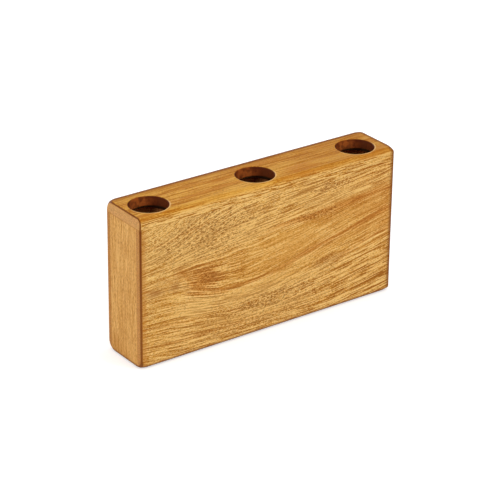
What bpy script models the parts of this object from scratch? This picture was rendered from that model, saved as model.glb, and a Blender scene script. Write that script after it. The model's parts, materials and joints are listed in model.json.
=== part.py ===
"""Didgeridoo box: a glued hardwood box that folds a long air channel behind three bores.

The box stands on its bottom with its length along X, its front face towards -Y and its
bores upwards. The origin is the middle of the base. Every size is in metres.
"""
import math

import bmesh
import bpy
from mathutils import Vector

MM = 0.001

# Finished box
LENGTH = 250 * MM
DEPTH = 48 * MM
HEIGHT = 130 * MM

# Stock thicknesses
WALL = 5.5 * MM                # front and back panels, end boards, bottom board
TOP_THICKNESS = 10 * MM
BAFFLE_THICKNESS = 4 * MM

# Bores in the top board
BORE_COUNT = 3
BORE_DIAMETER = 32 * MM
BORE_FRONT_MARGIN = 4.5 * MM   # from the front face to the bores' front rims
BORE_RIGHT_MARGIN = 4.6 * MM   # from the last bore's rim to the right end board
BORE_RIM_EASE = 0.8 * MM       # round-over on each bore's upper rim

# Air channel
TURN_GAP = 29 * MM             # opening past each baffle's free end
GROOVE_DEPTH = 1.5 * MM        # how deep the panels house the baffles
BAFFLE_NOSE_RADIUS = 1.8 * MM  # rounding on each baffle's free end

# Round-overs made after the glue-up
LONG_EDGE_RADIUS = 5 * MM      # the four edges along the box
END_EDGE_RADIUS = 2.5 * MM     # the edges round both ends
SOFT_CORNER_RADIUS = 9.5 * MM  # what the long edges grow to at seven of the box's corners
CRISP_CORNER_RADIUS = 3.5 * MM  # what the top front edge narrows to at its left end
CRISP_CORNER = (-1, -1, 1)     # signs of x, y and z at that corner
SOFTENING_REACH = 7.5 * MM     # how far from each end that change starts
EDGE_LAND = 0.5 * MM           # flat that a round-over leaves on a board's edge

# Fits and working allowances
GLUE_GAP = 0.3 * MM            # between two glued faces
TRIM = 2 * MM                  # how far a blank or a cutter stands past what it is cut to

# Facets
CORNER_SEGMENTS = 8
END_SEGMENTS = 5
SOFTENING_SEGMENTS = 3
BORE_SEGMENTS = 64
EASE_SEGMENTS = 3
NOSE_SEGMENTS = 4

# Sizes that follow from the ones above
BORE_RADIUS = BORE_DIAMETER / 2
PANEL_TOP = HEIGHT - TOP_THICKNESS
INNER_X = LENGTH / 2 - WALL
INNER_Y = DEPTH / 2 - WALL
CORNER_RADIUS = min(LONG_EDGE_RADIUS, WALL - EDGE_LAND)
SOFT_RADIUS = max(CORNER_RADIUS, min(SOFT_CORNER_RADIUS, TOP_THICKNESS - EDGE_LAND))
CRISP_RADIUS = min(CRISP_CORNER_RADIUS, CORNER_RADIUS)
BORE_Y = -DEPTH / 2 + BORE_FRONT_MARGIN + BORE_RADIUS
FIRST_BORE_X = -INNER_X + BORE_RADIUS
BORE_PITCH = (INNER_X - BORE_RIGHT_MARGIN - BORE_RADIUS - FIRST_BORE_X) / (BORE_COUNT - 1)
BORE_XS = [FIRST_BORE_X + i * BORE_PITCH for i in range(BORE_COUNT)]

# Finishes: linear colour and roughness of the oiled wood
TOP_COLOUR = (0.55, 0.27, 0.068)
FRONT_COLOUR = (0.60, 0.32, 0.095)
BACK_COLOUR = (0.57, 0.29, 0.085)
END_COLOUR = (0.60, 0.31, 0.105)
BOTTOM_COLOUR = (0.50, 0.25, 0.075)
BAFFLE_COLOUR = (0.42, 0.20, 0.070)
OILED_ROUGHNESS = 0.42
RAW_ROUGHNESS = 0.65


def clear_scene():
    """Start from an empty scene."""
    for obj in list(bpy.data.objects):
        bpy.data.objects.remove(obj, do_unlink=True)


def wood(name, colour, roughness):
    """A plain wood finish for one sub-part."""
    material = bpy.data.materials.new(name)
    material.use_nodes = True
    material.diffuse_color = (*colour, 1.0)
    shader = material.node_tree.nodes["Principled BSDF"]
    shader.inputs["Base Color"].default_value = (*colour, 1.0)
    shader.inputs["Roughness"].default_value = roughness
    shader.inputs["Metallic"].default_value = 0.0
    return material


def add_object(name, bm, location, material=None):
    """Turn a bmesh into a scene object, with its faces pointing out."""
    bmesh.ops.recalc_face_normals(bm, faces=bm.faces)
    mesh = bpy.data.meshes.new(name)
    bm.to_mesh(mesh)
    bm.free()
    if material:
        mesh.materials.append(material)
    obj = bpy.data.objects.new(name, mesh)
    obj.location = location
    bpy.context.collection.objects.link(obj)
    return obj


def as_guide(obj):
    """Mark a solid that only shapes others."""
    obj.hide_render = True
    obj.display_type = "WIRE"
    return obj


def box_bmesh(size):
    """A box of the given size round its own centre."""
    bm = bmesh.new()
    bmesh.ops.create_cube(bm, size=1.0)
    bmesh.ops.scale(bm, vec=size, verts=bm.verts)
    return bm


def box(name, low, high, material=None):
    """A board or a cutter between two corners, with its origin at its centre."""
    low, high = Vector(low), Vector(high)
    return add_object(name, box_bmesh(high - low), (low + high) / 2, material)


def cut(obj, tool, operation):
    """Shape a part with a guide solid, as a live modifier."""
    modifier = obj.modifiers.new(operation.lower() + "_" + tool.name, "BOOLEAN")
    modifier.operation = operation
    modifier.solver = "EXACT"
    modifier.object = tool


def edge_radius(x, sign_y, sign_z):
    """Radius of one long edge at x: it changes towards the corners, as hand sanding leaves it."""
    corner = (math.copysign(1, x), sign_y, sign_z)
    end_radius = CRISP_RADIUS if corner == CRISP_CORNER else SOFT_RADIUS
    share = max(0.0, 1 - (LENGTH / 2 - abs(x)) / SOFTENING_REACH)
    return CORNER_RADIUS + (end_radius - CORNER_RADIUS) * share ** 2


def section(x, inset):
    """One rounded rectangle across the box at x, drawn in from the full section."""
    points = []
    for corner, (sign_y, sign_z) in enumerate([(1, 1), (-1, 1), (-1, -1), (1, -1)]):
        full_radius = edge_radius(x, sign_y, sign_z)
        radius = full_radius - inset
        half_y = DEPTH / 2 - full_radius
        half_z = HEIGHT / 2 - full_radius
        for step in range(CORNER_SEGMENTS + 1):
            angle = math.radians(90) * (corner + step / CORNER_SEGMENTS)
            y = sign_y * half_y + radius * math.cos(angle)
            z = HEIGHT / 2 + sign_z * half_z + radius * math.sin(angle)
            points.append((x, y, z))
    return points


def rounded_envelope():
    """The finished outside of the box: a rounded bar with softened ends, lofted section by section."""
    half = []
    for step in range(END_SEGMENTS + 1):
        angle = math.radians(90) * step / END_SEGMENTS
        half.append((END_EDGE_RADIUS * (1 - math.cos(angle)), END_EDGE_RADIUS * (1 - math.sin(angle))))
    for step in range(1, SOFTENING_SEGMENTS + 1):
        share = step / SOFTENING_SEGMENTS
        half.append((END_EDGE_RADIUS + (SOFTENING_REACH - END_EDGE_RADIUS) * share, 0.0))
    rings = [section(-LENGTH / 2 + back, inset) for back, inset in half]
    rings += [section(LENGTH / 2 - back, inset) for back, inset in reversed(half)]

    bm = bmesh.new()
    loops = [[bm.verts.new(point) for point in ring] for ring in rings]
    count = len(loops[0])
    for near, far in zip(loops, loops[1:]):
        for i in range(count):
            j = (i + 1) % count
            face = bm.faces.new((near[i], near[j], far[j], far[i]))
            face.smooth = True
    bm.faces.new(loops[0])
    bm.faces.new(reversed(loops[-1]))
    return as_guide(add_object("rounded_envelope", bm, (0, 0, 0)))


def bore_cutter(index, x):
    """A turned cutter for one bore: straight below, flared where the rim is eased."""
    profile = [(BORE_RADIUS, PANEL_TOP - TRIM)]
    for step in range(EASE_SEGMENTS + 1):
        angle = math.radians(90) * step / EASE_SEGMENTS
        radius = BORE_RADIUS + BORE_RIM_EASE * (1 - math.cos(angle))
        profile.append((radius, HEIGHT - BORE_RIM_EASE * (1 - math.sin(angle))))
    profile.append((BORE_RADIUS + BORE_RIM_EASE, HEIGHT + TRIM))

    bm = bmesh.new()
    rings = []
    for radius, z in profile:
        ring = []
        for step in range(BORE_SEGMENTS):
            angle = math.tau * step / BORE_SEGMENTS
            ring.append(bm.verts.new((radius * math.cos(angle), radius * math.sin(angle), z)))
        rings.append(ring)
    for lower, upper in zip(rings, rings[1:]):
        for i in range(BORE_SEGMENTS):
            j = (i + 1) % BORE_SEGMENTS
            face = bm.faces.new((lower[i], lower[j], upper[j], upper[i]))
            face.smooth = True
    bm.faces.new(reversed(rings[0]))
    bm.faces.new(rings[-1])
    return as_guide(add_object("bore_cutter_%d" % (index + 1), bm, (x, BORE_Y, 0)))


def make_top_board(envelope):
    """The thick board over the whole box, with the three bores."""
    outside = Vector((TRIM, TRIM, TRIM))
    low = Vector((-LENGTH / 2, -DEPTH / 2, PANEL_TOP)) - Vector((TRIM, TRIM, 0))
    high = Vector((LENGTH / 2, DEPTH / 2, HEIGHT)) + outside
    board = box("top_board", low, high, wood("top_wood", TOP_COLOUR, OILED_ROUGHNESS))
    cut(board, envelope, "INTERSECT")
    for index, x in enumerate(BORE_XS):
        cut(board, bore_cutter(index, x), "DIFFERENCE")
    return board


def make_panel(name, side, colour, envelope, grooves):
    """The front or back panel: full length, under the top board, grooved inside for the baffles."""
    inner, outer = side * INNER_Y, side * (DEPTH / 2 + TRIM)
    low = (-LENGTH / 2 - TRIM, min(inner, outer), -TRIM)
    high = (LENGTH / 2 + TRIM, max(inner, outer), PANEL_TOP - GLUE_GAP)
    panel = box(name, low, high, wood(name + "_wood", colour, OILED_ROUGHNESS))
    cut(panel, envelope, "INTERSECT")
    for groove in grooves:
        cut(panel, groove, "DIFFERENCE")
    return panel


def make_end(name, side, envelope):
    """An end board with upright grain, between the panels and under the top board."""
    inner, outer = side * INNER_X, side * (LENGTH / 2 + TRIM)
    width = INNER_Y - GLUE_GAP
    low = (min(inner, outer), -width, -TRIM)
    high = (max(inner, outer), width, PANEL_TOP - GLUE_GAP)
    board = box(name, low, high, wood(name + "_wood", END_COLOUR, OILED_ROUGHNESS))
    cut(board, envelope, "INTERSECT")
    return board


def make_bottom_board(envelope):
    """The bottom board, let in between the four walls."""
    half_x, half_y = INNER_X - GLUE_GAP, INNER_Y - GLUE_GAP
    material = wood("bottom_wood", BOTTOM_COLOUR, OILED_ROUGHNESS)
    board = box("bottom_board", (-half_x, -half_y, -TRIM), (half_x, half_y, WALL), material)
    cut(board, envelope, "INTERSECT")
    return board


def baffle_plan():
    """Name, x and height span of each baffle, in order along the box.

    Two hanging baffles close off the lane under each bore at the top. One standing baffle
    between them turns the air a second time.
    """
    hanging = (WALL + TURN_GAP, PANEL_TOP - GLUE_GAP)
    standing = (WALL + GLUE_GAP, PANEL_TOP - TURN_GAP)
    reach = BORE_RADIUS + BAFFLE_THICKNESS / 2
    plan = []
    for index, (left, right) in enumerate(zip(BORE_XS, BORE_XS[1:])):
        plan.append(("hanging_baffle_%d" % (2 * index + 1), left + reach, hanging))
        plan.append(("standing_baffle_%d" % (index + 1), (left + right) / 2, standing))
        plan.append(("hanging_baffle_%d" % (2 * index + 2), right - reach, hanging))
    return plan


def make_baffle(name, x, span, material):
    """A thin cross board with a rounded free end, as wide as the grooves reach."""
    low_z, high_z = span
    width = 2 * (INNER_Y + GROOVE_DEPTH - GLUE_GAP)
    bm = box_bmesh(Vector((BAFFLE_THICKNESS, width, high_z - low_z)))
    free_end = -1 if name.startswith("hanging") else 1
    nose = []
    for edge in bm.edges:
        middle = (edge.verts[0].co + edge.verts[1].co) / 2
        if abs(middle.y) < GLUE_GAP and middle.z * free_end > 0:
            nose.append(edge)
    radius = min(BAFFLE_NOSE_RADIUS, BAFFLE_THICKNESS / 2 - GLUE_GAP / 2)
    bmesh.ops.bevel(bm, geom=nose, offset=radius, segments=NOSE_SEGMENTS, profile=0.5, affect="EDGES")
    return add_object(name, bm, (x, 0, (low_z + high_z) / 2), material)


def groove_cutter(name, x, span):
    """The housing for one baffle, cut into both panels with room for glue."""
    low_z, high_z = span
    half_x = BAFFLE_THICKNESS / 2 + GLUE_GAP
    half_y = INNER_Y + GROOVE_DEPTH
    top = high_z + GLUE_GAP
    if name.startswith("hanging"):
        top = PANEL_TOP + TRIM
    cutter = box(name + "_groove", (x - half_x, -half_y, low_z - GLUE_GAP), (x + half_x, half_y, top))
    return as_guide(cutter)


def main():
    clear_scene()
    envelope = rounded_envelope()
    plan = baffle_plan()
    grooves = [groove_cutter(*entry) for entry in plan]

    parts = [
        make_top_board(envelope),
        make_panel("front_panel", -1, FRONT_COLOUR, envelope, grooves),
        make_panel("back_panel", 1, BACK_COLOUR, envelope, grooves),
        make_end("left_end", -1, envelope),
        make_end("right_end", 1, envelope),
        make_bottom_board(envelope),
    ]
    for name, x, span in plan:
        parts.append(make_baffle(name, x, span, wood(name + "_wood", BAFFLE_COLOUR, RAW_ROUGHNESS)))

    box_root = bpy.data.objects.new("didgeridoo_box", None)
    bpy.context.collection.objects.link(box_root)
    for part in parts:
        part.parent = box_root


main()
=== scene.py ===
"""Looks of the didgeridoo box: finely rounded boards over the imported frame, oiled wood, a studio.

The box stands on z = 0 with its length along X, its front face towards -Y and its bores up.
Meshes are in metres. The wood's pattern is worked out in millimetres on the same axes.
"""

import json
import math

import bmesh
import bpy
from mathutils import Matrix, Vector


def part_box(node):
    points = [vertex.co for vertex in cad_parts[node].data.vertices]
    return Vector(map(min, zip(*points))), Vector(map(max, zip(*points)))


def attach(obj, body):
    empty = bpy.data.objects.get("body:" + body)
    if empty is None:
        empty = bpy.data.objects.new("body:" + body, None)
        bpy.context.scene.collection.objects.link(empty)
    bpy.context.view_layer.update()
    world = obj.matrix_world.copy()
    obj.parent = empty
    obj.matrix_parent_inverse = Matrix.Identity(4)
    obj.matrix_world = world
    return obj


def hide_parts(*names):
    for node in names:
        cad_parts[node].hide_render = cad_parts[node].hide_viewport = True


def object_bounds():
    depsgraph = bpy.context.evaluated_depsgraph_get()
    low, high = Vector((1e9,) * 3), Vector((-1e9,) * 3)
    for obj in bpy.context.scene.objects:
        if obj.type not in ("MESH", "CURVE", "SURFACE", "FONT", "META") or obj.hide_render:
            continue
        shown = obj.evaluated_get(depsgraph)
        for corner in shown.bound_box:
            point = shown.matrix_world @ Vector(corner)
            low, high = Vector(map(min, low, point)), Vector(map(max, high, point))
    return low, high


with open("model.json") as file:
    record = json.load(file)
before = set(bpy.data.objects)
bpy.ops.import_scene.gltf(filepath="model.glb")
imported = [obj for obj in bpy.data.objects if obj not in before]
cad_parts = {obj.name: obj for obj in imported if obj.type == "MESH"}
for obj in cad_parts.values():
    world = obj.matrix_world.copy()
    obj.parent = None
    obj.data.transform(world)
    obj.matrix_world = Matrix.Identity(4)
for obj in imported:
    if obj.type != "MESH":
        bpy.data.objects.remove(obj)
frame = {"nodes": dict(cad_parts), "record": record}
cad_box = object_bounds()

MM = 0.001
QUARTER_TURN = math.radians(90)

# Sizes read from the frame, in metres
LOW, HIGH = (Vector(corner) for corner in cad_box)
LENGTH, DEPTH, HEIGHT = HIGH - LOW
BOX_MIDDLE = Vector((0, 0, HEIGHT / 2))
PANEL_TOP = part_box("top_board")[0].z
INNER_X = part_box("right_end")[0].x
INNER_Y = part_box("back_panel")[0].y
FLOOR_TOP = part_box("bottom_board")[1].z
OPENINGS = {opening["name"]: opening["box_m"] for opening in frame["record"]["physics"]["openings"]}
BORES = [
    (Vector(OPENINGS[name][0]) + Vector(OPENINGS[name][1])) / 2
    for name in ("left_bore", "middle_bore", "right_bore")
]

# Finish of the boards
SEAM = 0.05 * MM               # hairline left between two glued boards
TRIM = 2 * MM                  # how far a blank or a cutter stands past what it is cut to
SLIVER = 0.01 * MM             # edges that a cut leaves shorter than this are closed up
LONG_EDGE_RADIUS = 5 * MM
END_EDGE_RADIUS = 2.5 * MM
# What the long edges' rounding changes to at the box's corners, along y and along z
SOFT_CORNER = (9.5 * MM, 9.5 * MM)
WORN_CORNERS = {               # signs of x, y and z: rounding
    (-1, -1, 1): (3.5 * MM, 3.5 * MM),
    (1, -1, 1): (12 * MM, 4 * MM),
    (1, -1, -1): (12 * MM, 4 * MM),
}
SOFTENING_REACH = 7.5 * MM     # how far from each end that change starts
BORE_RIM_EASE = 0.8 * MM
GROOVE_CLEARANCE = 0.1 * MM
CORNER_SEGMENTS = 24
END_SEGMENTS = 14
SOFTENING_SEGMENTS = 10
BORE_SEGMENTS = 144
EASE_SEGMENTS = 8
SHARP_ANGLE = math.radians(35)

# Radius of the bores' straight part, from the ring that the middle one leaves under the top board
BORE_RADIUS = min(
    (vertex.co.xy - BORES[1].xy).length
    for vertex in frame["nodes"]["top_board"].data.vertices
    if abs(vertex.co.z - PANEL_TOP) < SEAM
)

# The same places in millimetres, for the wood's pattern
END_X = LENGTH / MM / 2        # from the middle to either end
BACK_Y = DEPTH / MM / 2        # from the middle to the back or the front
TOP_Z = HEIGHT / MM
SEAM_Z = PANEL_TOP / MM        # under the top board
INSIDE_X = INNER_X / MM        # inner faces of the end boards, the panels and the bottom board
INSIDE_Y = INNER_Y / MM
INSIDE_Z = FLOOR_TOP / MM
BORE_Y = BORES[0].y / MM       # where the bores' axes stand in a row
BORE_WALL = BORE_RADIUS / MM

# Camera, as measured from the photograph's perspective
AZIMUTH = math.radians(-36.42)
ELEVATION = math.radians(25.36)
ROLL = math.radians(0.72)
DISTANCE = 1.7666
AIM_RIGHT = -2.88 * MM
AIM_UP = -3.01 * MM
FOCAL_PIXELS = 2189.9
IMAGE_PIXELS = 500
SENSOR_MM = 36

# Wood colours, linear
PALE_GOLD = (0.86, 0.555, 0.192, 1)
LIGHT_GOLD = (0.81, 0.490, 0.150, 1)
MID_GOLD = (0.650, 0.308, 0.048, 1)
DEEP_GOLD = (0.370, 0.118, 0.008, 1)
RED_LIGHT = (0.660, 0.300, 0.058, 1)
RED_BROWN = (0.490, 0.170, 0.020, 1)
RED_DEEP = (0.330, 0.095, 0.008, 1)
GREY_BROWN = (0.400, 0.165, 0.038, 1)
FLECK_BROWN = (0.220, 0.068, 0.004, 1)
TOP_LIGHT = (0.71, 0.375, 0.066, 1)
TOP_MID = (0.570, 0.238, 0.018, 1)
TOP_DEEP = (0.400, 0.132, 0.005, 1)
END_LIGHT = (0.79, 0.450, 0.142, 1)
END_MID = (0.640, 0.325, 0.084, 1)
END_DEEP = (0.465, 0.200, 0.036, 1)
FRONT_END_GRAIN = (0.470, 0.193, 0.049, 1)
BACK_END_GRAIN = (0.400, 0.150, 0.030, 1)
TOP_END_GRAIN = (0.580, 0.300, 0.105, 1)
TOP_RED = (0.520, 0.185, 0.016, 1)
# Dark brown of streaks and of lines along the end edges, and of painted shade along the foot and the top's
# back edge
STREAK_AND_SHADE_BROWN = (0.170, 0.040, 0.003, 1)
# Bore walls: painted light where they face the front and the back, end grain and painted shade on the left
# and right
BORE_LIT_GRAIN = (0.450, 0.106, 0.018, 1)
BORE_LONG_GRAIN = (0.400, 0.092, 0.018, 1)
BORE_END_GRAIN_AND_SHADE = (0.100, 0.016, 0.005, 1)
# Painted shade at the foot of the bores' walls, under the top board's overhang
BORE_FOOT_SHADE = (0.012, 0.003, 0.001, 1)
# Painted highlight on the bores' eased rims
RIM_HIGHLIGHT = (0.80, 0.50, 0.19, 1)
RAW_LIGHT = (0.64, 0.28, 0.090, 1)
RAW_MID = (0.54, 0.21, 0.060, 1)
RAW_DEEP = (0.42, 0.14, 0.038, 1)
# Raw wood of the baffles, darkened as painted shade inside the hollow
SHADED_BAFFLE_LIGHT = (0.44, 0.18, 0.058, 1)
SHADED_BAFFLE_MID = (0.35, 0.13, 0.039, 1)
SHADED_BAFFLE_DEEP = (0.25, 0.085, 0.024, 1)

# Tones from the darkest grain to the lightest: place on the scale of light from 0 to 1, and colour
PANEL_TONES = [(0.00, DEEP_GOLD), (0.38, MID_GOLD), (0.75, LIGHT_GOLD), (1.00, PALE_GOLD)]
TOP_SIDE_TONES = [(0.00, DEEP_GOLD), (0.32, MID_GOLD), (0.66, LIGHT_GOLD), (1.00, PALE_GOLD)]
RED_TONES = [(0.10, RED_DEEP), (0.46, RED_BROWN), (0.84, RED_LIGHT)]
TOP_TONES = [(0.08, TOP_DEEP), (0.50, TOP_MID), (0.92, TOP_LIGHT)]
END_TONES = [(0.08, END_DEEP), (0.50, END_MID), (0.92, END_LIGHT)]
BOTTOM_TONES = [(0.08, DEEP_GOLD), (0.50, MID_GOLD), (0.92, LIGHT_GOLD)]
RAW_TONES = [(0.08, RAW_DEEP), (0.50, RAW_MID), (0.92, RAW_LIGHT)]
SHADED_BAFFLE_TONES = [(0.08, SHADED_BAFFLE_DEEP), (0.50, SHADED_BAFFLE_MID), (0.92, SHADED_BAFFLE_LIGHT)]

# Surface: roughness from the dark streaks to the light ones, and depth of the pores in metres
SHEEN_LEVEL = 0.08             # specular level of the wood
BUMP_STRENGTH = 0.6
PANEL_FINISH = ((0.56, 0.44), 0.06 * MM)
TOP_FINISH = ((0.56, 0.44), 0.05 * MM)
END_FINISH = ((0.56, 0.46), 0.06 * MM)
BOTTOM_FINISH = ((0.58, 0.46), 0.06 * MM)
BAFFLE_FINISH = ((0.75, 0.62), 0.08 * MM)

# Seeds of the boards' patterns, and the steps that keep the patterns of one board apart
SEEDS = {
    "top_board": 5.0, "front_panel": 2.0, "back_panel": 71.0, "left_end": 29.0, "right_end": 83.0,
    "bottom_board": 47.0, "baffle": 61.0,
}
SEED_SHIFTS = (1.0, 1.7, 2.3)  # how far one step moves a pattern along its three axes
WAVE_SEED = 3
PORE_SEED = 5
STAIN_SEED = 9
MARK_SEED_STEP = 11

# Marks along the grain: length and width in millimetres, octaves of finer detail, softness of borders
MARKS = {
    "bands": (190, 8.0, 2.0, 0.17),
    "streaks": (70, 0.85, 0.0, 0.17),
    "fibres": (18, 0.55, 0.0, 0.10),
    "flecks": (1.9, 0.55, 0.0, 0.10),
}
MIDDLE = 0.5                   # middle of a noise, and of the scale of light
# How strongly the marks lighten and darken the wood
PANEL_BAND_WEIGHT = 0.16
PANEL_STREAK_WEIGHTS = (0.28, 0.40)    # in plain wood and in dotted wood
PANEL_FIBRE_WEIGHTS = (0.82, 0.67)
PANEL_FLECK_WEIGHTS = (0.58, 1.63)
CALM_FLECKS = 0.40                     # share of the flecks' weight that is left in calm wood
TOP_BAND_WEIGHTS = (0.72, 0.20)        # on the upper face and on the sides
TOP_STREAK_WEIGHTS = (0.58, 0.34)
TOP_FIBRE_WEIGHT = 0.74
TOP_FLECK_WEIGHT = 0.42
END_WEIGHTS = {"bands": 0.14, "streaks": 0.24, "fibres": 0.46, "flecks": 0.32}
BOTTOM_WEIGHTS = {"bands": 0.30, "streaks": 0.30, "fibres": 0.50}
BAFFLE_WEIGHTS = {"bands": 0.30, "streaks": 0.30, "fibres": 0.45}
RAGGED_WEIGHTS = {"streaks": 0.5, "fibres": 0.3}    # how they fray the borders of patches and bands

# Slow waves of the grain: length and width, how far they shift it, in millimetres
PANEL_WAVES = (38, 16, 3.0)
TOP_WAVES = (70, 18, 5.0)
END_WAVES = (45, 14, 4.0)
WAVE_DETAIL = 2.0
FLECK_SLOPE = 0.15             # how steeply a panel's flecks and pores climb towards the right

# Pores, and the dashes that the darkest marks make
PORE_SPACING = (4.0, 1.3)      # along and across the grain, in millimetres
PORE_BORDER = 0.07             # softness of a pore's border
PANEL_PORE_SIZES = (0.24, 0.37)        # in plain wood and in dotted wood
PANEL_PORE_STRENGTHS = (0.50, 0.86)
TOP_PORE_SIZE = 0.24
TOP_PORE_STRENGTHS = (0.40, 0.50)      # on the upper face and on the sides
END_PORE_SIZE = 0.26
END_PORE_STRENGTH = 0.44
DASH_LIMIT = 0.30              # fibres below this make dashes
PANEL_DASH_STRENGTH = 0.36
TOP_DASH_STRENGTH = 0.25
BOTTOM_DASH_LIMIT = 0.25       # flecks below this make dashes
BOTTOM_DASH_STRENGTH = 0.35

# End grain
END_GRAIN_COVER = 0.80
END_DOTS = (6.0, 1.1, 1.1)     # size of its dots in millimetres
END_DOT_DETAIL = 1.0
END_DOT_LEVELS = (0.80, 1.20)  # the darkest and the lightest dot, against the tone between them

# Red and pale stains on the top board
TOP_STAINS = (60, 7)           # length and width in millimetres
STAIN_DETAIL = 1.0

# Figure of the front panel, drawn in millimetres as (x, z) on its face
FRONT_FIGURE = {
    "end_grain": FRONT_END_GRAIN,
    # The grain runs along these three lines and shifts smoothly between them
    "flow": [
        [(-125, 21), (-60, 15), (0, 14), (60, 17), (125, 26)],
        [
            (-125, 60), (-100, 60.5), (-80, 58), (-63, 54), (-45, 50.5), (-20, 49), (15, 54), (60, 65),
            (125, 80),
        ],
        [(-125, 88), (-100, 92), (-58, 105), (-20, 112), (35, 116), (125, 122)],
    ],
    # Red-brown bands: points along the band, half width, strength
    "bands": [
        ([(-94, 79), (-84, 73), (-75, 60), (-63, 53)], 4.5, 0.60),
        ([(-72, 56), (-55, 50), (-28, 48.3), (-8, 50), (17, 54), (42, 61)], 2.6, 0.62),
        ([(10, 53), (42, 61), (75, 68), (97, 72.5), (125, 80)], 3.4, 0.85),
        ([(-18, 82.5), (2, 89), (25, 90.3), (58, 91.7), (90, 93.6), (125, 96)], 3.6, 0.80),
        ([(60, 44), (83, 50), (100, 55), (125, 61)], 2.2, 0.90),
        ([(-125, 35), (-92, 31.7), (-60, 30)], 1.4, 0.45),
        ([(-125, 18.5), (-83, 16), (-8, 15), (30, 15.5)], 1.4, 0.50),
        ([(-125, 103), (-105, 104), (-78, 109), (-50, 113)], 1.2, 0.45),
        ([(-124, 68), (-115, 66), (-106, 63)], 1.6, 0.65),
        ([(-111, 77), (-100, 71.5), (-89, 62)], 1.8, 0.40),
    ],
    # Patches: middle, half width and half height, strength
    "red": [
        ((-66, 64.5), (20, 16), 0.90),
        ((-82, 73), (17, 7), 0.45),
        ((-40, 68), (30, 18), 0.15),
        ((85, 88), (60, 16), 0.35),
        ((40, 70), (70, 20), 0.22),
        ((110, 30), (34, 26), 0.15),
        ((118, 84), (46, 42), 0.52),
        ((100, 112), (62, 17), 0.24),
    ],
    "grey": [
        ((57, 46), (18, 6), 0.30),
        ((-104, 68), (18, 9), 0.20),
        ((-111, 63.5), (10, 4), 0.75),
        ((-93, 64), (8, 5), 0.65),
        ((-59, 63), (8, 9), 0.20),
    ],
    "pale": [
        ((-28, 98), (36, 16), 0.40),
        ((-62, 104), (58, 18), 0.30),
        ((-74, 91), (30, 17), 0.48),
        ((-10, 39), (55, 7), 0.45),
        ((70, 103), (45, 7), 0.35),
        ((-112, 94), (18, 8), 0.30),
        ((-70, 20), (60, 9), 0.20),
        ((-70, 40), (28, 8), 0.50),
        ((2, 20), (40, 10), 0.35),
        ((34, 111), (30, 10), 0.30),
    ],
    "dotted": [
        ((-65, 103), (60, 22), 1.0),
        ((-63, 64), (16, 13), 0.6),
        ((5, 27), (60, 10), 0.75),
        ((-15, 13), (60, 8), 0.5),
        ((62, 112), (24, 6), 0.8),
        ((40, 91), (30, 4), 0.6),
        ((57, 46), (18, 6), 0.4),
    ],
    "calm": [
        ((22, 74), (62, 22), 0.80),
        ((-100, 58), (24, 24), 0.40),
        ((95, 76), (50, 32), 0.70),
        ((20, 53), (90, 14), 0.55),
        ((-50, 70), (50, 16), 0.30),
        ((-114, 22), (26, 28), 0.35),
    ],
}

# Figure of the back panel, drawn in the same way
BACK_FIGURE = {
    "end_grain": BACK_END_GRAIN,
    "flow": [
        [(-125, 30), (-50, 18), (20, 12), (80, 16), (125, 22)],
        [(-125, 74), (-70, 66), (-20, 54), (40, 50), (90, 56), (125, 66)],
        [(-125, 118), (-60, 112), (0, 100), (60, 96), (125, 104)],
    ],
    "bands": [
        ([(-125, 74), (-70, 66), (-20, 54), (40, 50), (90, 56), (125, 66)], 3.0, 0.55),
        ([(-125, 96), (-60, 90), (0, 78), (70, 74), (125, 84)], 2.4, 0.45),
        ([(-30, 110), (30, 98), (70, 96), (125, 103)], 2.0, 0.50),
        ([(-125, 40), (-60, 28), (10, 20)], 1.8, 0.50),
        ([(20, 13), (80, 17), (125, 23)], 1.6, 0.45),
    ],
    "red": [((55, 62), (30, 14), 0.35)],
    "grey": [((-80, 48), (22, 7), 0.35)],
    "pale": [((-60, 100), (40, 10), 0.40), ((40, 34), (50, 8), 0.40)],
    "dotted": [((60, 108), (50, 16), 0.9), ((-60, 60), (36, 10), 0.7), ((0, 26), (50, 8), 0.8)],
    "calm": [((0, 65), (220, 130), 0.45), ((-20, 78), (70, 20), 0.75), ((70, 40), (60, 18), 0.65)],
}
FLOW_SAMPLES = range(-120, 121, 20)    # where along x a flow line's mean height is taken
FLOW_BLEND = 4.0                       # millimetres of blend to either side of the middle flow line
BAND_FADE = 0.22                       # share of a band's length over which it fades in, or out

# Soft borders: where each starts and ends, and its strength at both unless that is 0 and 1

# Shares of half a width; the strength comes with the patch or the band
PATCH_BORDER = (0.35, 1.15)
BAND_BORDER = (0.10, 1.25)
# Levels of a noise, from 0 to 1
END_DOT_BORDER = (0.32, 0.68)
RED_STAIN_BORDER = (0.52, 0.66, 0.0, 0.65)
PALE_STAIN_BORDER = (0.44, 0.32, 0.0, 0.45)
SCORCH_BORDER = (0.40, 0.66, 0.0, 0.75)
# How squarely a surface faces either end, front or back, or up, from 0 to 1
FACING_END = (0.72, 0.93)
FACING_SIDE = (0.30, 0.70)
FACING_UP = (0.3, 0.6)
# How squarely a bore's wall faces right, from -1 on the right wall to 1 on the left one: for the painted
# light on the middle walls, the end grain and painted shade on the side walls, and the darker brink of the
# right wall
MIDDLE_WALL_RIGHT = (-0.65, -0.15)
MIDDLE_WALL_LEFT = (0.0, 0.50, 1.0, 0.0)
LEFT_WALL = (0.25, 0.70)
RIGHT_WALL = (-0.38, -0.92, 0.0, 0.92)
RIGHT_BRINK = (0.0, -0.60)
# How far an edge round an end has turned, from 0 on the flat to 1 halfway round
PANEL_EDGE = (0.10, 1.00)
TOP_EDGE = (0.50, 0.98)
END_EDGE = (0.25, 0.90)
TOP_EDGE_STRENGTH = 0.95
END_EDGE_STRENGTH = 0.90
EDGE_SCALE = 4.0               # brings the value halfway round to 1
# Places along x, in millimetres
LEFT_LINE = (-END_X + 2.5, -END_X + 7.0, 0.50, 0.0)
RIGHT_LINE = (END_X - 6.0, END_X - 2.0, 0.0, 0.80)
TOP_RIGHT_SHADE = (0.0, END_X - 35.0, 0.0, 0.36)
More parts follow.
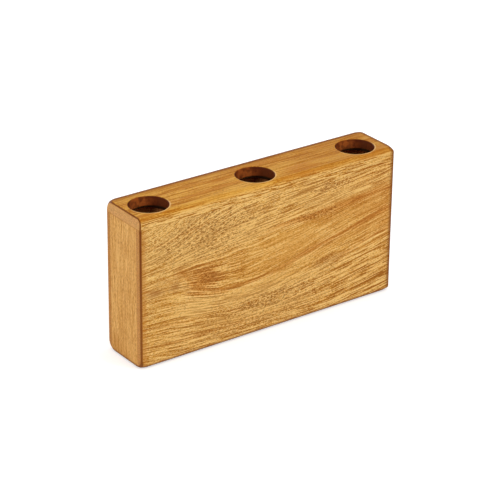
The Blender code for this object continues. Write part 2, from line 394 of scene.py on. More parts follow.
# Places along y
TOP_REAR_SHADE = (BACK_Y - 15.0, BACK_Y - 7.0, 0.0, 0.46)
# Painted shade along the upper face's back edge
TOP_BACK_SHADE = (BACK_Y - 8.5, BACK_Y - 4.5, 0.0, 0.85)
END_FOOT_REAR = (-BACK_Y + 10.0, BACK_Y - 14.0)
END_PANEL_GLUE = (INSIDE_Y - 0.8, INSIDE_Y - 0.2, 0.0, 0.30)
# Where the painted highlight on the bores' rims fades out towards the back
RIM_FRONT = (BORE_Y - 10.0, BORE_Y + 4.0, 0.66, 0.0)
# Heights
# Painted shade along the edge round the foot, strongest at the bottom
FOOT_SHADE_LINE = (1.5, 4.0, 0.85, 0.0)
END_FOOT_SHADE = (2.0, 30.0, 0.26, 0.0)
PANEL_EDGE_STRENGTH = (30.0, SEAM_Z - 15.0, 0.86, 1.0)
END_TOP_GLUE = (SEAM_Z - 0.7, SEAM_Z - 0.1, 0.0, 0.40)
TOP_GLUE = (SEAM_Z + 0.2, SEAM_Z + 1.0, 0.45, 0.0)
# Painted shade at the foot of the bores' walls
WALL_FOOT_SHADE = (SEAM_Z + 0.6, SEAM_Z + 1.8, 1.0, 0.0)
WALL_BRINK = (TOP_Z - 3.2, TOP_Z - 1.0, 0.0, 0.75)
TOP_SIDE_HEIGHT = (TOP_Z - 1.5, TOP_Z - 5.5)
# Distances from a bore's axis
WALL_BORDER = (BORE_WALL + 0.05, BORE_WALL + 0.3, 0.97, 0.0)
# Where the painted highlight on a bore's rim lies
RIM_INSIDE = (BORE_WALL + 0.10, BORE_WALL + 0.40)
RIM_OUTSIDE = (BORE_WALL + 0.9, BORE_WALL + 1.7, 1.0, 0.0)
# Distance past the faces of the hollow
HOLLOW_BORDER = (0.10, 0.55, 1.0, 0.0)

# Bore walls
SCORCH_MARKS = (4.0, 4.0, 5.0)         # size in millimetres
SCORCH_DETAIL = 2.0
WALL_STREAKS = 0.25                    # strength of dark streaks
# Millimetres by which the painted shade at the foot is lower on the left wall and higher on the right one
WALL_FOOT_SLANT = 1.3

# Studio
WHITE = (1, 1, 1, 1)
AMBIENT = 0.50
FLOOR_WHITE = 0.86
FLOOR_LIFT_RADII = (0.8, 2.5)
FLOOR_LIFT = (0.42, 0.62)      # glow that is seen within the first radius and past the second
FLOOR_HALF = 6.0
FLOOR_THICKNESS = 0.01
# Softboxes: where each stands, its size and its power in watts
SOFTBOXES = {
    "key_softbox": ((0.95, -1.35, 1.15), 1.0, 14.6),
    "side_softbox": ((-1.70, -0.35, 0.75), 1.2, 12.0),
    "top_softbox": ((0.10, 0.20, 1.80), 1.4, 5.5),
    "back_softbox": ((-0.10, 1.75, 0.28), 0.5, 8.0),
}


class Graph:
    """A node tree, with short calls that add one node or a few and return an output."""

    # Sockets of a mix of colours, whose names aren't theirs alone
    MIX_FIRST, MIX_SECOND, MIX_RESULT = 6, 7, 2

    def __init__(self, tree):
        self.tree = tree

    def feed(self, socket, value):
        """Link a socket to another node's output, or set it to a constant."""
        if isinstance(value, bpy.types.NodeSocket):
            self.tree.links.new(value, socket)
        else:
            socket.default_value = value

    def add(self, kind, *values, output=0, **settings):
        """Add a node of one kind, with its settings, and feed its first sockets."""
        node = self.tree.nodes.new("ShaderNode" + kind)
        for key, setting in settings.items():
            setattr(node, key, setting)
        for socket, value in zip(node.inputs, values):
            self.feed(socket, value)
        return node.outputs[output]

    def math(self, operation, *values):
        return self.add("Math", *values, operation=operation)

    def vector(self, operation, *values):
        output = "Value" if operation == "LENGTH" else "Vector"
        return self.add("VectorMath", *values, operation=operation, output=output)

    def join(self, x, y, z=0.0):
        return self.add("CombineXYZ", x, y, z)

    def split(self, vector):
        return tuple(self.add("SeparateXYZ", vector).node.outputs)

    def chain(self, operation, values):
        """Apply one operation to the first two values, then to the result and the next one, and so on."""
        result = values[0]
        for value in values[1:]:
            result = self.math(operation, result, value)
        return result

    def product(self, *values):
        return self.chain("MULTIPLY", values)

    def largest(self, *values):
        return self.chain("MAXIMUM", values)

    def smallest(self, *values):
        return self.chain("MINIMUM", values)

    def rest(self, share):
        """What a share leaves of 1."""
        return self.math("SUBTRACT", 1.0, share)

    def between(self, share, low, high):
        """From low to high in a straight line, as share goes from 0 to 1."""
        return self.math("MULTIPLY_ADD", share, high - low, low)

    def rise(self, value, start, end, low=0.0, high=1.0):
        """From low to high with a soft start and end, as value goes from start to end."""
        return self.add("MapRange", value, start, end, low, high, interpolation_type="SMOOTHSTEP")

    def texture(self, kind, place, **values):
        """A pattern with marks about one unit of place in size; values name its other sockets."""
        node = self.tree.nodes.new("ShaderNodeTex" + kind)
        self.feed(node.inputs["Vector"], place)
        node.inputs["Scale"].default_value = 1.0
        for name, value in values.items():
            node.inputs[name].default_value = value
        return node.outputs[0]

    def noise(self, place, detail):
        return self.texture("Noise", place, Detail=detail)

    def ramp(self, value, tones):
        """A colour from a list of (position, colour) pairs, blended between them."""
        node = self.tree.nodes.new("ShaderNodeValToRGB")
        self.feed(node.inputs[0], value)
        elements = node.color_ramp.elements
        while len(elements) < len(tones):
            elements.new(1.0)
        for element, (position, colour) in zip(elements, tones):
            element.position = position
            element.color = colour
        return node.outputs["Color"]

    def mix(self, share, first, second):
        """The first colour, with a share of it replaced by the second."""
        node = self.tree.nodes.new("ShaderNodeMix")
        node.data_type = "RGBA"
        self.feed(node.inputs["Factor"], share)
        self.feed(node.inputs[self.MIX_FIRST], first)
        self.feed(node.inputs[self.MIX_SECOND], second)
        return node.outputs[self.MIX_RESULT]


class Wood(Graph):
    """A board's material, with places in millimetres and the way that its surface faces."""

    def __init__(self, name):
        self.material = bpy.data.materials.new(name)
        self.material.use_nodes = True
        super().__init__(self.material.node_tree)
        self.shader = self.tree.nodes["Principled BSDF"]
        coordinates = self.tree.nodes.new("ShaderNodeTexCoord")
        self.place = self.vector("MULTIPLY", coordinates.outputs["Object"], (1 / MM,) * 3)
        self.x, self.y, self.z = self.split(self.place)
        self.facing_x, self.facing_y, self.facing_z = self.split(coordinates.outputs["Normal"])


def stretched(wood, grain, length, width, seed):
    """Places for a pattern that is drawn out along the grain, from its marks' length and width."""
    scaled = wood.vector("MULTIPLY", grain, (1 / length, 1 / width, 1 / width))
    return wood.vector("ADD", scaled, tuple(seed * shift for shift in SEED_SHIFTS))


def spots(wood, size, detail):
    """Noise whose spots have a size in millimetres along x, y and z."""
    return wood.noise(wood.vector("MULTIPLY", wood.place, tuple(1 / part for part in size)), detail)


def grain_layers(wood, grain, seed, fleck_grain=None):
    """The marks of one board's grain, each spread from 0 to 1."""
    layers = {}
    for index, (name, (length, width, detail, soft)) in enumerate(MARKS.items()):
        along = fleck_grain if fleck_grain and name == "flecks" else grain
        value = wood.noise(stretched(wood, along, length, width, seed + MARK_SEED_STEP * index), detail)
        layers[name] = wood.rise(value, MIDDLE - soft, MIDDLE + soft)
    return layers


def weighed(wood, layers, weights, middle=MIDDLE):
    """One value round a middle one, from layers of marks and their weights."""
    value = middle
    for name, weight in weights.items():
        value = wood.math("MULTIPLY_ADD", wood.math("SUBTRACT", layers[name], MIDDLE), weight, value)
    return value


def waved(wood, level, place, waves, seed):
    """A level across the grain, shifted by slow waves."""
    length, width, reach = waves
    wave = wood.noise(stretched(wood, place, length, width, seed + WAVE_SEED), WAVE_DETAIL)
    return wood.math("MULTIPLY_ADD", wood.math("SUBTRACT", wave, MIDDLE), reach, level)


def pore_mask(wood, grain, seed, size):
    """Short dots scattered along the grain, 1 inside each."""
    distance = wood.texture("Voronoi", stretched(wood, grain, *PORE_SPACING, seed + PORE_SEED))
    return wood.rise(wood.math("SUBTRACT", distance, size), -PORE_BORDER, PORE_BORDER, 1.0, 0.0)


def dash_mask(wood, layer, limit, strength):
    """The darkest part of a layer of marks, up to a limit, at a strength."""
    return wood.product(wood.rise(layer, 0.0, limit, 1.0, 0.0), strength)


def patch_mask(wood, patches, ragged):
    """The strongest of several soft ellipses, with ragged borders."""
    masks = []
    for (middle_x, middle_z), (half_x, half_z), strength in patches:
        offset = wood.join(
            wood.math("MULTIPLY_ADD", wood.x, 1 / half_x, -middle_x / half_x),
            wood.math("MULTIPLY_ADD", wood.z, 1 / half_z, -middle_z / half_z),
        )
        distance = wood.math("ADD", wood.vector("LENGTH", offset), ragged)
        masks.append(wood.rise(distance, *PATCH_BORDER, strength, 0.0))
    return wood.largest(*masks)


def drawn_line(wood, points):
    """Height of a smooth line through points drawn as (x, z), at each place along x."""
    start, end = points[0][0], points[-1][0]
    node = wood.tree.nodes.new("ShaderNodeFloatCurve")
    wood.feed(node.inputs["Value"], wood.add("MapRange", wood.x, start, end, 0.0, 1.0))
    shares = [((x - start) / (end - start), z / TOP_Z) for x, z in points]
    curve = node.mapping.curves[0]
    curve.points[0].location = shares[0]
    curve.points[1].location = shares[-1]
    for share in shares[1:-1]:
        curve.points.new(*share)
    node.mapping.update()
    return wood.math("MULTIPLY", node.outputs["Value"], TOP_Z)


def band_mask(wood, bands, ragged):
    """The strongest of several curved bands, each fading towards an end that lies on the panel."""
    masks = []
    for points, half_width, strength in bands:
        start, end = points[0][0], points[-1][0]
        fade = BAND_FADE * (end - start)
        offset = wood.math("ABSOLUTE", wood.math("SUBTRACT", wood.z, drawn_line(wood, points)))
        distance = wood.math("MULTIPLY_ADD", offset, 1 / half_width, ragged)
        core = wood.rise(distance, *BAND_BORDER, strength, 0.0)
        opening = wood.rise(wood.x, start, start + fade) if start > -END_X else 1.0
        closing = wood.rise(wood.x, end - fade, end, 1.0, 0.0) if end < END_X else 1.0
        masks.append(wood.product(core, opening, closing))
    return wood.largest(*masks)


def height_of(points, x):
    """Height of a drawn line at x, taken straight from point to point."""
    for (x0, z0), (x1, z1) in zip(points, points[1:]):
        if x0 <= x <= x1:
            return z0 + (z1 - z0) * (x - x0) / (x1 - x0)


def flow(wood, lines):
    """Height across the grain, straightened so that the three drawn lines become level ones.

    The level lines are as far apart as the drawn ones are on average, so marks keep their width.
    """
    means = [sum(height_of(points, x) for x in FLOW_SAMPLES) / len(FLOW_SAMPLES) for points in lines]
    levels = [height - means[0] for height in means]
    drawn = [drawn_line(wood, points) for points in lines]
    lower = wood.add("MapRange", wood.z, drawn[0], drawn[1], levels[0], levels[1], clamp=False)
    upper = wood.add("MapRange", wood.z, drawn[1], drawn[2], levels[1], levels[2], clamp=False)
    above = wood.rise(wood.math("SUBTRACT", wood.z, drawn[1]), -FLOW_BLEND, FLOW_BLEND)
    return wood.math("ADD", wood.product(upper, above), wood.product(lower, wood.rest(above)))


def end_grain_mask(wood):
    """1 where the surface cuts across the length of the box."""
    return wood.rise(wood.math("ABSOLUTE", wood.facing_x), *FACING_END)


def end_grain(wood, colour, end, tone):
    """Fine dots of end grain round one tone, where the mask says end."""
    dark, pale = (tuple(part * level for part in tone[:3]) + (1,) for level in END_DOT_LEVELS)
    dots = wood.rise(spots(wood, END_DOTS, END_DOT_DETAIL), *END_DOT_BORDER)
    dotted = wood.ramp(dots, [(0.0, dark), (1.0, pale)])
    return wood.mix(wood.product(end, END_GRAIN_COVER), colour, dotted)


def darken_edges_and_shade_foot(wood, colour, border, strength):
    """Darken the edges round both ends, and paint shade along the edge round the foot."""
    square = wood.math("POWER", wood.facing_x, 2.0)
    turned = wood.product(square, wood.rest(square), EDGE_SCALE)
    end_edge = wood.rise(turned, *border, 0.0, strength)
    # Painted shade along the edge round the foot
    foot_shade = wood.rise(wood.z, *FOOT_SHADE_LINE)
    return wood.mix(wood.largest(end_edge, foot_shade), colour, STREAK_AND_SHADE_BROWN)


def line_beside_end(wood, colour, end, border, tone):
    """A line of another tone along one end's edges, off the end grain."""
    return wood.mix(wood.product(wood.rise(wood.x, *border), wood.rest(end)), colour, tone)


def raw_inside(wood, colour, light):
    """Leave the faces that look into the box's hollow unfinished, and so plain and reddish."""
    outside = wood.largest(
        wood.math("SUBTRACT", wood.math("ABSOLUTE", wood.x), INSIDE_X),
        wood.math("SUBTRACT", wood.math("ABSOLUTE", wood.y), INSIDE_Y),
        wood.math("SUBTRACT", wood.z, SEAM_Z),
        wood.math("SUBTRACT", INSIDE_Z, wood.z),
    )
    return wood.mix(wood.rise(outside, *HOLLOW_BORDER), colour, wood.ramp(light, RAW_TONES))


def finish_surface(wood, colour, layers, pores, finish):
    """Connect the colour, the gloss and the relief of fibres and pores to the shader."""
    roughness, depth = finish
    inputs = wood.shader.inputs
    wood.feed(inputs["Base Color"], colour)
    wood.feed(inputs["Roughness"], wood.rise(layers["streaks"], 0.0, 1.0, *roughness))
    inputs["Specular IOR Level"].default_value = SHEEN_LEVEL
    bump = wood.tree.nodes.new("ShaderNodeBump")
    bump.inputs["Strength"].default_value = BUMP_STRENGTH
    bump.inputs["Distance"].default_value = depth
    wood.feed(bump.inputs["Height"], wood.math("SUBTRACT", layers["fibres"], pores))
    wood.feed(inputs["Normal"], bump.outputs["Normal"])
    return wood.material


def panel_light(wood, layers, dotted, busy):
    """How light a panel's wood is: flecks stand out where it is dotted, fine marks fade where it is calm."""
    flecks = wood.between(dotted, *PANEL_FLECK_WEIGHTS)
    return weighed(wood, layers, {
        "bands": PANEL_BAND_WEIGHT,
        "streaks": wood.product(busy, wood.between(dotted, *PANEL_STREAK_WEIGHTS)),
        "fibres": wood.product(busy, wood.between(dotted, *PANEL_FIBRE_WEIGHTS)),
        "flecks": wood.product(flecks, wood.rise(busy, 0.0, 1.0, CALM_FLECKS, 1.0)),
    })


def panel_colour(wood, light, figure, ragged):
    """Gold wood with one panel's pale, red and grey patches and its red-brown bands."""
    reddish = wood.ramp(light, RED_TONES)
    colour = wood.ramp(light, PANEL_TONES)
    colour = wood.mix(patch_mask(wood, figure["pale"], ragged), colour, LIGHT_GOLD)
    colour = wood.mix(patch_mask(wood, figure["red"], ragged), colour, reddish)
    colour = wood.mix(band_mask(wood, figure["bands"], ragged), colour, reddish)
    return wood.mix(patch_mask(wood, figure["grey"], ragged), colour, GREY_BROWN)


def panel_pores(wood, layers, grain, seed, dotted, busy):
    """A panel's pores, larger and darker where it is dotted, and dashes where it isn't calm."""
    size = wood.rise(dotted, 0.0, 1.0, *PANEL_PORE_SIZES)
    strength = wood.rise(dotted, 0.0, 1.0, *PANEL_PORE_STRENGTHS)
    dots = wood.product(pore_mask(wood, grain, seed, size), strength)
    dashes = dash_mask(wood, layers["fibres"], DASH_LIMIT, PANEL_DASH_STRENGTH)
    return wood.largest(dots, wood.product(dashes, busy))


def panel_wood(node, figure):
    """Figured wood of a front or back panel: grain along X, figure on its face."""
    wood = Wood(node + "_oiled")
    seed = SEEDS[node]
    level = waved(wood, flow(wood, figure["flow"]), wood.place, PANEL_WAVES, seed)
    grain = wood.join(wood.x, level, wood.y)
    climbing = wood.math("MULTIPLY_ADD", wood.x, -FLECK_SLOPE, wood.z)
    fleck_grain = wood.join(wood.x, climbing, wood.y)
    layers = grain_layers(wood, grain, seed, fleck_grain)
    ragged = weighed(wood, layers, RAGGED_WEIGHTS, 0.0)
    dotted = patch_mask(wood, figure["dotted"], ragged)
    busy = wood.rest(patch_mask(wood, figure["calm"], ragged))
    light = panel_light(wood, layers, dotted, busy)
    pores = panel_pores(wood, layers, fleck_grain, seed, dotted, busy)
    colour = wood.mix(pores, panel_colour(wood, light, figure, ragged), FLECK_BROWN)

    end = end_grain_mask(wood)
    colour = end_grain(wood, colour, end, figure["end_grain"])
    colour = line_beside_end(wood, colour, end, LEFT_LINE, RED_BROWN)
    colour = darken_edges_and_shade_foot(wood, colour, PANEL_EDGE, wood.rise(wood.z, *PANEL_EDGE_STRENGTH))
    colour = line_beside_end(wood, colour, end, RIGHT_LINE, STREAK_AND_SHADE_BROWN)
    colour = raw_inside(wood, colour, light)
    return finish_surface(wood, colour, layers, pores, PANEL_FINISH)


def bore_distance(wood):
    """Distance from the nearest bore's axis, in millimetres."""
    across = wood.join(wood.x, wood.y)
    axes = [(middle.x / MM, middle.y / MM, 0.0) for middle in BORES]
    return wood.smallest(*(wood.vector("LENGTH", wood.vector("SUBTRACT", across, axis)) for axis in axes))


def bore_wall(wood, streaks):
    """Dark red wood of the bores' walls: painted light on the walls at the front and the back, end grain with
    painted shade on the left and right walls, and painted shade at the foot.

    A wall faces the bore's axis, so the left wall is the one that faces right.
    """
    # Painted light on the walls that face the front and the back
    middle = wood.product(
        wood.rise(wood.facing_x, *MIDDLE_WALL_RIGHT), wood.rise(wood.facing_x, *MIDDLE_WALL_LEFT))
    # End grain, with painted shade, on the left and right walls
    sides = wood.largest(wood.rise(wood.facing_x, *LEFT_WALL), wood.rise(wood.facing_x, *RIGHT_WALL))
    scorch = wood.rise(spots(wood, SCORCH_MARKS, SCORCH_DETAIL), *SCORCH_BORDER)
    brink = wood.product(wood.rise(wood.z, *WALL_BRINK), wood.rise(wood.facing_x, *RIGHT_BRINK))
    # Painted shade at the wall's foot, where the top board overhangs the hollow
    slanted = wood.math("MULTIPLY_ADD", wood.facing_x, WALL_FOOT_SLANT, wood.z)
    colour = wood.mix(middle, BORE_LONG_GRAIN, BORE_LIT_GRAIN)
    colour = wood.mix(sides, colour, BORE_END_GRAIN_AND_SHADE)
    colour = wood.mix(scorch, colour, BORE_END_GRAIN_AND_SHADE)
    colour = wood.mix(wood.product(streaks, WALL_STREAKS), colour, STREAK_AND_SHADE_BROWN)
    colour = wood.mix(brink, colour, BORE_END_GRAIN_AND_SHADE)
    return wood.mix(wood.rise(slanted, *WALL_FOOT_SHADE), colour, BORE_FOOT_SHADE)


def bored(wood, colour, streaks):
    """Dark, red walls inside the bores, and a painted highlight on the rim towards the front."""
    nearest = bore_distance(wood)
    # Painted highlight on the rim, strongest towards the front
    rim = wood.product(
        wood.rise(nearest, *RIM_INSIDE), wood.rise(nearest, *RIM_OUTSIDE), wood.rise(wood.y, *RIM_FRONT))
    colour = wood.mix(rim, colour, RIM_HIGHLIGHT)
    return wood.mix(wood.rise(nearest, *WALL_BORDER), colour, bore_wall(wood, streaks))


def top_colour(wood, light, grain, seed):
    """Straight grain of the upper face, with red and pale stains, deeper to the rear and to the right."""
    stains = wood.noise(stretched(wood, grain, *TOP_STAINS, seed + STAIN_SEED), STAIN_DETAIL)
    shade = wood.largest(wood.rise(wood.y, *TOP_REAR_SHADE), wood.rise(wood.x, *TOP_RIGHT_SHADE))
    colour = wood.ramp(light, TOP_TONES)
    colour = wood.mix(wood.rise(stains, *RED_STAIN_BORDER), colour, TOP_RED)
    colour = wood.mix(wood.rise(stains, *PALE_STAIN_BORDER), colour, TOP_LIGHT)
    return wood.mix(shade, colour, TOP_DEEP)


def top_pores(wood, layers, grain, seed, side):
    """The top board's pores, and dashes on its sides."""
    strength = wood.rise(side, 0.0, 1.0, *TOP_PORE_STRENGTHS)
    dots = wood.product(pore_mask(wood, grain, seed, TOP_PORE_SIZE), strength)
    dashes = dash_mask(wood, layers["fibres"], DASH_LIMIT, TOP_DASH_STRENGTH)
    return wood.largest(dots, wood.product(dashes, side))


def top_wood():
    """Wood of the top board: its sides match the panels, and its bores are dark and red inside."""
    wood = Wood("top_board_oiled")
    seed = SEEDS["top_board"]
    grain = wood.join(wood.x, waved(wood, wood.y, wood.place, TOP_WAVES, seed), wood.z)
    layers = grain_layers(wood, grain, seed)
    side = wood.product(
        wood.rise(wood.math("ABSOLUTE", wood.facing_y), *FACING_SIDE), wood.rise(wood.z, *TOP_SIDE_HEIGHT))
    light = weighed(wood, layers, {
        "bands": wood.between(side, *TOP_BAND_WEIGHTS),
        "streaks": wood.between(side, *TOP_STREAK_WEIGHTS),
        "fibres": TOP_FIBRE_WEIGHT,
        "flecks": TOP_FLECK_WEIGHT,
    })
    pores = top_pores(wood, layers, grain, seed, side)
    colour = wood.mix(side, top_colour(wood, light, grain, seed), wood.ramp(light, TOP_SIDE_TONES))
    colour = wood.mix(pores, colour, FLECK_BROWN)

    end = end_grain_mask(wood)
    colour = end_grain(wood, colour, end, TOP_END_GRAIN)
    colour = wood.mix(wood.product(end, wood.rise(wood.z, *TOP_GLUE)), colour, DEEP_GOLD)
    colour = darken_edges_and_shade_foot(wood, colour, TOP_EDGE, TOP_EDGE_STRENGTH)
    colour = line_beside_end(wood, colour, end, RIGHT_LINE, STREAK_AND_SHADE_BROWN)
    # Painted shade along the rounded back edge of the upper face
    back_shade = wood.product(wood.rise(wood.y, *TOP_BACK_SHADE), wood.rise(wood.facing_z, *FACING_UP))
    colour = wood.mix(back_shade, colour, STREAK_AND_SHADE_BROWN)
    colour = raw_inside(wood, colour, light)
    colour = bored(wood, colour, layers["streaks"])
    return finish_surface(wood, colour, layers, pores, TOP_FINISH)


def end_wood(node):
    """Upright grain of an end board, with short dark pores."""
    wood = Wood(node + "_oiled")
    seed = SEEDS[node]
    level = waved(wood, wood.y, wood.join(wood.z, wood.y, wood.x), END_WAVES, seed)
    grain = wood.join(wood.z, level, wood.x)
    layers = grain_layers(wood, grain, seed)
    light = weighed(wood, layers, END_WEIGHTS)
    pores = wood.product(pore_mask(wood, grain, seed, END_PORE_SIZE), END_PORE_STRENGTH)
    colour = wood.mix(pores, wood.ramp(light, END_TONES), FLECK_BROWN)

    foot = wood.product(wood.rise(wood.z, *END_FOOT_SHADE), wood.rise(wood.y, *END_FOOT_REAR))
    colour = wood.mix(foot, colour, TOP_DEEP)
    glue = wood.largest(
        wood.rise(wood.z, *END_TOP_GLUE), wood.rise(wood.math("ABSOLUTE", wood.y), *END_PANEL_GLUE))
    colour = wood.mix(glue, colour, DEEP_GOLD)
    colour = darken_edges_and_shade_foot(wood, colour, END_EDGE, END_EDGE_STRENGTH)
    colour = raw_inside(wood, colour, light)
    return finish_surface(wood, colour, layers, pores, END_FINISH)


def bottom_wood():
    """Plain oiled wood of the bottom board, grain along X."""
    wood = Wood("bottom_board_oiled")
    layers = grain_layers(wood, wood.place, SEEDS["bottom_board"])
    light = weighed(wood, layers, BOTTOM_WEIGHTS)
    pores = dash_mask(wood, layers["flecks"], BOTTOM_DASH_LIMIT, BOTTOM_DASH_STRENGTH)
    colour = wood.mix(pores, wood.ramp(light, BOTTOM_TONES), FLECK_BROWN)
    colour = raw_inside(wood, colour, light)
    return finish_surface(wood, colour, layers, pores, BOTTOM_FINISH)


def raw_wood():
    """Unfinished wood of the baffles, grain upright, without pores, darkened as painted shade inside the
    hollow.
    """
    wood = Wood("baffle_raw_shaded")
    layers = grain_layers(wood, wood.join(wood.z, wood.y, wood.x), SEEDS["baffle"])
    colour = wood.ramp(weighed(wood, layers, BAFFLE_WEIGHTS), SHADED_BAFFLE_TONES)
    return finish_surface(wood, colour, layers, 0.0, BAFFLE_FINISH)


def new_object(name, bm):
    """Turn a bmesh into a scene object, with its faces pointing out."""
    bmesh.ops.recalc_face_normals(bm, faces=bm.faces)
    mesh = bpy.data.meshes.new(name)
    bm.to_mesh(mesh)
    bm.free()
    obj = bpy.data.objects.new(name, mesh)
    bpy.context.scene.collection.objects.link(obj)
    return obj


def blank(name, low, high):
    """A square blank or cutter between two corners."""
    low, high = Vector(low), Vector(high)
    bm = bmesh.new()
    bmesh.ops.create_cube(bm, size=1.0)
    bmesh.ops.scale(bm, vec=high - low, verts=bm.verts)
    bmesh.ops.translate(bm, vec=(low + high) / 2, verts=bm.verts)
    return new_object(name, bm)


def edge_rounding(x, sign_y, sign_z):
    """Rounding of one long edge at x, along y and along z.

    It changes towards the corners, as hand sanding leaves it.
    """
    corner = (math.copysign(1, x), sign_y, sign_z)
    radii = WORN_CORNERS.get(corner, SOFT_CORNER)
    share = max(0.0, 1 - (LENGTH / 2 - abs(x)) / SOFTENING_REACH) ** 2
    return [LONG_EDGE_RADIUS + (radius - LONG_EDGE_RADIUS) * share for radius in radii]


def section(x, inset):
    """One rounded rectangle across the box at x, drawn in from the full section."""
    points = []
    for corner, (sign_y, sign_z) in enumerate([(1, 1), (-1, 1), (-1, -1), (1, -1)]):
        radius_y, radius_z = edge_rounding(x, sign_y, sign_z)
        half_y = DEPTH / 2 - radius_y
        half_z = HEIGHT / 2 - radius_z
        for step in range(CORNER_SEGMENTS + 1):
            angle = QUARTER_TURN * (corner + step / CORNER_SEGMENTS)
            y = sign_y * half_y + (radius_y - inset) * math.cos(angle)
            z = HEIGHT / 2 + sign_z * half_z + (radius_z - inset) * math.sin(angle)
            points.append((x, y, z))
    return points


def skin(name, rings):
    """A closed solid over rings of points, one after the other."""
    bm = bmesh.new()
    loops = [[bm.verts.new(point) for point in ring] for ring in rings]
    count = len(loops[0])
    for near, far in zip(loops, loops[1:]):
        for here in range(count):
            after = (here + 1) % count
            bm.faces.new((near[here], near[after], far[after], far[here]))
    bm.faces.new(loops[0])
    bm.faces.new(reversed(loops[-1]))
    return new_object(name, bm)


def rounded_envelope():
    """The finished outside of the box, lofted section by section."""
    half = []
    for step in range(END_SEGMENTS + 1):
        angle = QUARTER_TURN * step / END_SEGMENTS
        half.append((END_EDGE_RADIUS * (1 - math.cos(angle)), END_EDGE_RADIUS * (1 - math.sin(angle))))
    for step in range(1, SOFTENING_SEGMENTS + 1):
        share = step / SOFTENING_SEGMENTS
        half.append((END_EDGE_RADIUS + (SOFTENING_REACH - END_EDGE_RADIUS) * share, 0.0))
    rings = [section(-LENGTH / 2 + back, inset) for back, inset in half]
    rings += [section(LENGTH / 2 - back, inset) for back, inset in reversed(half)]
    return skin("envelope_cutter", rings)


def bore_cutter(middle):
    """A turned cutter for one bore: straight below, flared where the rim is eased."""
    profile = [(BORE_RADIUS, PANEL_TOP - TRIM)]
    for step in range(EASE_SEGMENTS + 1):
        angle = QUARTER_TURN * step / EASE_SEGMENTS
        radius = BORE_RADIUS + BORE_RIM_EASE * (1 - math.cos(angle))
        profile.append((radius, HEIGHT - BORE_RIM_EASE * (1 - math.sin(angle))))
    profile.append((BORE_RADIUS + BORE_RIM_EASE, HEIGHT + TRIM))
    angles = [math.tau * step / BORE_SEGMENTS for step in range(BORE_SEGMENTS)]
    rings = [
        [(middle.x + radius * math.cos(angle), middle.y + radius * math.sin(angle), z) for angle in angles]
        for radius, z in profile
    ]
    return skin("bore_cutter", rings)


def groove_cutter(node):
    """Room in both panels for one baffle's edges."""
    low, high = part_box(node)
    room = Vector((GROOVE_CLEARANCE, GROOVE_CLEARANCE, GROOVE_CLEARANCE))
    return blank("groove_cutter", low - room, high + room)


def close_slivers(mesh):
    """Close up the tiny edges and faces that cutting leaves behind."""
    bm = bmesh.new()
    bm.from_mesh(mesh)
    bmesh.ops.remove_doubles(bm, verts=bm.verts, dist=SLIVER)
    bmesh.ops.dissolve_degenerate(bm, edges=bm.edges, dist=SLIVER)
    bm.to_mesh(mesh)
    bm.free()


def finished_board(node, corners, material, envelope, cutters):
    """A board cut from a blank to the box's rounded outside, in place of its CAD node."""
    board = blank(node + "_board", *corners)
    for tool, operation in [(envelope, "INTERSECT")] + [(cutter, "DIFFERENCE") for cutter in cutters]:
        modifier = board.modifiers.new(operation.lower(), "BOOLEAN")
        modifier.operation = operation
        modifier.solver = "EXACT"
        modifier.object = tool
    evaluated = board.evaluated_get(bpy.context.evaluated_depsgraph_get())
    mesh = bpy.data.meshes.new_from_object(evaluated)
    board.modifiers.clear()
    board.data = mesh
    close_slivers(mesh)
    mesh.shade_smooth()
    mesh.set_sharp_from_angle(angle=SHARP_ANGLE)
    mesh.materials.clear()
    mesh.materials.append(material)
    normals = board.modifiers.new("flat_faces_stay_flat", "WEIGHTED_NORMAL")
    normals.keep_sharp = True
    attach(board, "root")
    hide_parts(node)


def blank_corners():
    """The lowest and the highest corner of each board's blank, with the hairline seams of a tight glue-up."""
    out_x, out_y = LENGTH / 2 + TRIM, DEPTH / 2 + TRIM
    under, below = PANEL_TOP - SEAM, -TRIM
    inside_x, inside_y = INNER_X - SEAM, INNER_Y - SEAM
    return {
        "top_board": ((-out_x, -out_y, PANEL_TOP), (out_x, out_y, HEIGHT + TRIM)),
        "front_panel": ((-out_x, -out_y, below), (out_x, -INNER_Y, under)),
        "back_panel": ((-out_x, INNER_Y, below), (out_x, out_y, under)),
        "left_end": ((-out_x, -inside_y, below), (-INNER_X, inside_y, under)),
        "right_end": ((INNER_X, -inside_y, below), (out_x, inside_y, under)),
        "bottom_board": ((-inside_x, -inside_y, below), (inside_x, inside_y, FLOOR_TOP)),
    }


def make_boards():
    """The six outer boards, cut and finished, and the look of the baffles inside."""
    baffles = [name for name in frame["nodes"] if "baffle" in name]
    envelope = rounded_envelope()
    grooves = [groove_cutter(name) for name in baffles]
    bores = [bore_cutter(middle) for middle in BORES]
    boards = [
        ("top_board", "top_wood", top_wood(), bores),
        ("front_panel", "panel_wood", panel_wood("front_panel", FRONT_FIGURE), grooves),
        ("back_panel", "panel_wood", panel_wood("back_panel", BACK_FIGURE), grooves),
        ("left_end", "end_wood", end_wood("left_end"), []),
        ("right_end", "end_wood", end_wood("right_end"), []),
        ("bottom_board", "bottom_wood", bottom_wood(), []),
    ]
    corners = blank_corners()
    for node, slot, material, cutters in boards:
        finished_board(node, corners[node], material, envelope, cutters)
    for cutter in [envelope, *grooves, *bores]:
        bpy.data.objects.remove(cutter, do_unlink=True)

    raw = raw_wood()
    for name in baffles:
        for slot in frame["nodes"][name].material_slots:
            slot.material = raw


def seen_directly(graph):
    """1 for rays that the camera, a reflection or a clear material sends, else 0."""
    rays = graph.add("LightPath").node.outputs
    return graph.largest(rays["Is Camera Ray"], rays["Is Glossy Ray"], rays["Is Transmission Ray"])


def make_world():
    """Even white light, and a white background where it is seen."""
    world = bpy.data.worlds.new("studio")
    world.use_nodes = True
    graph = Graph(world.node_tree)
    background = graph.tree.nodes["Background"]
    background.inputs["Color"].default_value = WHITE
    graph.feed(background.inputs["Strength"], graph.between(seen_directly(graph), AMBIENT, 1.0))
    bpy.context.scene.world = world


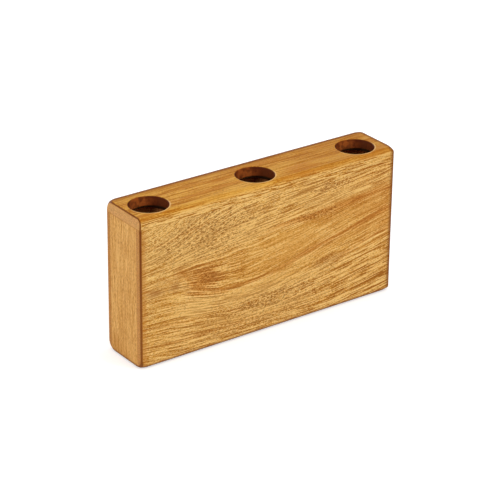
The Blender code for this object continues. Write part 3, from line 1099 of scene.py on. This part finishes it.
def make_floor():
    """A white floor that keeps the box's shadow."""
    floor = blank("floor", (-FLOOR_HALF, -FLOOR_HALF, -FLOOR_THICKNESS), (FLOOR_HALF, FLOOR_HALF, 0.0))
    material = bpy.data.materials.new("white_floor")
    material.use_nodes = True
    graph = Graph(material.node_tree)
    inputs = graph.tree.nodes["Principled BSDF"].inputs
    inputs["Base Color"].default_value = (FLOOR_WHITE, FLOOR_WHITE, FLOOR_WHITE, 1)
    inputs["Roughness"].default_value = 1.0
    inputs["Specular IOR Level"].default_value = 0.0
    inputs["Emission Color"].default_value = WHITE
    distance = graph.vector("LENGTH", graph.add("TexCoord", output="Object"))
    glow = graph.add("MapRange", distance, *FLOOR_LIFT_RADII, *FLOOR_LIFT)
    graph.feed(inputs["Emission Strength"], graph.product(seen_directly(graph), glow))
    floor.data.materials.append(material)


def make_softbox(name, place, size, watts):
    """A square lamp that faces the middle of the box."""
    lamp = bpy.data.lights.new(name, "AREA")
    lamp.shape = "SQUARE"
    lamp.size = size
    lamp.energy = watts
    obj = bpy.data.objects.new(name, lamp)
    obj.location = place
    aim = BOX_MIDDLE - Vector(place)
    obj.rotation_euler = aim.to_track_quat("-Z", "Y").to_euler()
    bpy.context.scene.collection.objects.link(obj)


def make_camera():
    """A camera at the photograph's place, turned a little about its own axis."""
    back = Vector((
        math.sin(AZIMUTH) * math.cos(ELEVATION),
        -math.cos(AZIMUTH) * math.cos(ELEVATION),
        math.sin(ELEVATION),
    ))
    right = Vector((0, 0, 1)).cross(back).normalized()
    up = back.cross(right)
    rolled_right = right * math.cos(ROLL) + up * math.sin(ROLL)
    rolled_up = up * math.cos(ROLL) - right * math.sin(ROLL)
    place = BOX_MIDDLE + back * DISTANCE + rolled_right * AIM_RIGHT + rolled_up * AIM_UP
    turn = Matrix((rolled_right, rolled_up, back)).transposed().to_4x4()
    data = bpy.data.cameras.new("camera")
    data.sensor_width = SENSOR_MM
    data.lens = FOCAL_PIXELS / IMAGE_PIXELS * SENSOR_MM
    camera = bpy.data.objects.new("camera", data)
    camera.matrix_world = Matrix.Translation(place) @ turn
    bpy.context.scene.collection.objects.link(camera)
    bpy.context.scene.camera = camera


make_boards()
make_world()
make_floor()
for softbox, (place, size, watts) in SOFTBOXES.items():
    make_softbox(softbox, place, size, watts)
make_camera()
bpy.context.scene.view_settings.view_transform = "Standard"
